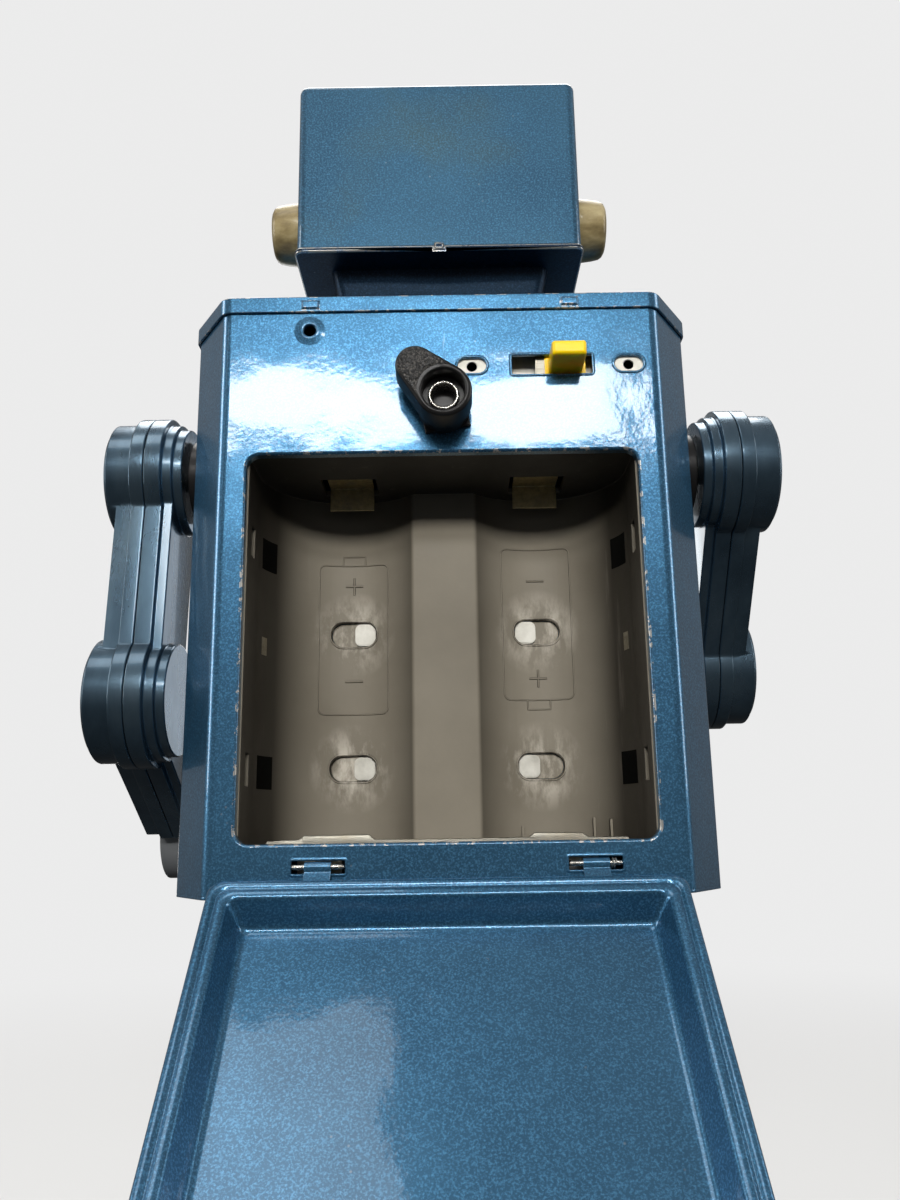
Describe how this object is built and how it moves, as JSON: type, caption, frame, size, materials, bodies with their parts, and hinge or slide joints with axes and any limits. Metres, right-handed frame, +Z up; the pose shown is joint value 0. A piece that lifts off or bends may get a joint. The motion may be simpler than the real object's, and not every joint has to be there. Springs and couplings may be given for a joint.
{
  "type": "walking tin robot toy",
  "caption": "Battery-operated walking tin robot with a hinged back door over two cell cradles, swinging arms and sliding legs.",
  "frame": {"origin": "on the floor, between the soles, in the middle of the torso and within 0.3 mm of the middle of the whole model's footprint", "axes": "+Z up, +Y towards the robot's back, +X towards the robot's left side"},
  "size_m": [0.1428, 0.1738, 0.2883],
  "materials": {
    "blue_tin": "glossy metallic lacquer",
    "dark_tin": "glossy dark lacquer",
    "silver_tin": "satin silver paint",
    "blue_plastic": "moulded metallic blue",
    "grey_plastic": "moulded metallic grey",
    "box_plastic": "matt moulded",
    "black_plastic": "grained",
    "yellow_plastic": "moulded",
    "ear_plastic": "aged satin",
    "lamp_plastic": "clear moulded",
    "lens_plastic": "clear moulded",
    "gear_plastic": "moulded",
    "nickel": "nickel plated",
    "brass": "stamped strip",
    "plain_steel": "bare sheet",
    "rubber": "matt"
  },
  "bodies": {
    "torso": {"body_shell": "blue_tin", "top_cap": "blue_tin", "base_plate": "blue_tin", "chest_panel": "silver_tin", "chest_lamps": "lamp_plastic", "battery_box": "box_plastic", "contact_strip": "nickel", "cell_tabs": "brass", "window_contacts": "nickel", "hinge_wires": "nickel", "door_spring": "nickel", "lever_washer": "black_plastic", "lever_eyelet": "nickel", "switch_plate": "plain_steel", "neck_collar": "dark_tin", "head_shell": "blue_tin", "head_base": "blue_tin", "eye_lenses": "lens_plastic", "mouth_grille": "nickel", "ear_left": "ear_plastic", "ear_right": "ear_plastic", "shoulder_bushes": "black_plastic", "slide_rails": "nickel", "rail_blocks": "plain_steel", "gear_plate_left": "plain_steel", "gear_plate_right": "plain_steel", "gear_pillars": "nickel", "motor": "plain_steel"},
    "door": {"battery_door": "blue_tin"},
    "lever": {"catch_lever": "black_plastic"},
    "switch": {"switch_knob": "yellow_plastic"},
    "left_arm": {"arm_outer_left": "blue_plastic", "arm_inner_left": "blue_plastic", "hand_left": "grey_plastic", "shoulder_axle_left": "nickel", "shoulder_crank_left": "plain_steel"},
    "right_arm": {"arm_outer_right": "blue_plastic", "arm_inner_right": "blue_plastic", "hand_right": "grey_plastic", "shoulder_axle_right": "nickel", "shoulder_crank_right": "plain_steel"},
    "left_leg": {"leg_bracket_left": "plain_steel", "leg_shell_left": "blue_tin", "shoe_left": "blue_plastic", "sole_left": "plain_steel", "roller_axles_left": "nickel"},
    "left_front_roller": {"front_roller_left": "rubber"},
    "left_rear_roller": {"rear_roller_left": "rubber"},
    "right_leg": {"leg_bracket_right": "plain_steel", "leg_shell_right": "blue_tin", "shoe_right": "blue_plastic", "sole_right": "plain_steel", "roller_axles_right": "nickel"},
    "right_front_roller": {"front_roller_right": "rubber"},
    "right_rear_roller": {"rear_roller_right": "rubber"},
    "pinion": {"motor_pinion": "brass"},
    "idler": {"idler_gear": "gear_plastic"},
    "crank": {"crank_gear": "gear_plastic", "crank_shaft": "nickel"}
  },
  "joints": [
    {"name": "door_hinge", "type": "hinge", "parent": "torso", "child": "door", "pos_m": [0, 0.0312, 0.1253], "axis": [1, 0, 0], "range_deg": [0, 135]},
    {"name": "lever_turn", "type": "hinge", "parent": "torso", "child": "lever", "pos_m": [-0.0005, 0.031, 0.2105], "axis": [0, 1, 0], "range_deg": [-45, 135]},
    {"name": "switch_slide", "type": "slide", "parent": "torso", "child": "switch", "axis": [1, 0, 0], "range_m": [-0.0015, 0.0068]},
    {"name": "left_arm_swing", "type": "hinge", "parent": "torso", "child": "left_arm", "pos_m": [0.05, 0.001, 0.2071], "axis": [1, 0, 0], "range_deg": [-43, 1]},
    {"name": "right_arm_swing", "type": "hinge", "parent": "torso", "child": "right_arm", "pos_m": [-0.05, 0.001, 0.2071], "axis": [1, 0, 0], "range_deg": [-1, 43]},
    {"name": "left_leg_slide", "type": "slide", "parent": "torso", "child": "left_leg", "axis": [0, 1, 0], "range_m": [-0.0004, 0.0138]},
    {"name": "right_leg_slide", "type": "slide", "parent": "torso", "child": "right_leg", "axis": [0, 1, 0], "range_m": [-0.0138, 0.0004]},
    {"name": "left_front_roller_spin", "type": "hinge", "parent": "left_leg", "child": "left_front_roller", "pos_m": [0.023, -0.0347, 0.006], "axis": [1, 0, 0], "continuous": true},
    {"name": "left_rear_roller_spin", "type": "hinge", "parent": "left_leg", "child": "left_rear_roller", "pos_m": [0.023, 0.0093, 0.006], "axis": [1, 0, 0], "continuous": true},
    {"name": "right_front_roller_spin", "type": "hinge", "parent": "right_leg", "child": "right_front_roller", "pos_m": [-0.023, -0.0213, 0.006], "axis": [1, 0, 0], "continuous": true},
    {"name": "right_rear_roller_spin", "type": "hinge", "parent": "right_leg", "child": "right_rear_roller", "pos_m": [-0.023, 0.0227, 0.006], "axis": [1, 0, 0], "continuous": true},
    {"name": "crank_turn", "type": "hinge", "parent": "torso", "child": "crank", "pos_m": [0, -0.015, 0.175], "axis": [1, 0, 0], "continuous": true},
    {"name": "idler_turn", "type": "hinge", "parent": "torso", "child": "idler", "pos_m": [0, -0.015, 0.16], "axis": [1, 0, 0], "continuous": true},
    {"name": "pinion_turn", "type": "hinge", "parent": "torso", "child": "pinion", "pos_m": [0, -0.015, 0.145], "axis": [1, 0, 0], "continuous": true}
  ],
  "couplings": [
    {"joint": "right_arm_swing", "follows": "left_arm_swing", "ratio": -1},
    {"joint": "left_leg_slide", "follows": "left_arm_swing", "m_per_rad": -0.018231},
    {"joint": "right_leg_slide", "follows": "left_arm_swing", "m_per_rad": 0.018231},
    {"joint": "idler_turn", "follows": "crank_turn", "ratio": -4},
    {"joint": "pinion_turn", "follows": "crank_turn", "ratio": 16}
  ]
}
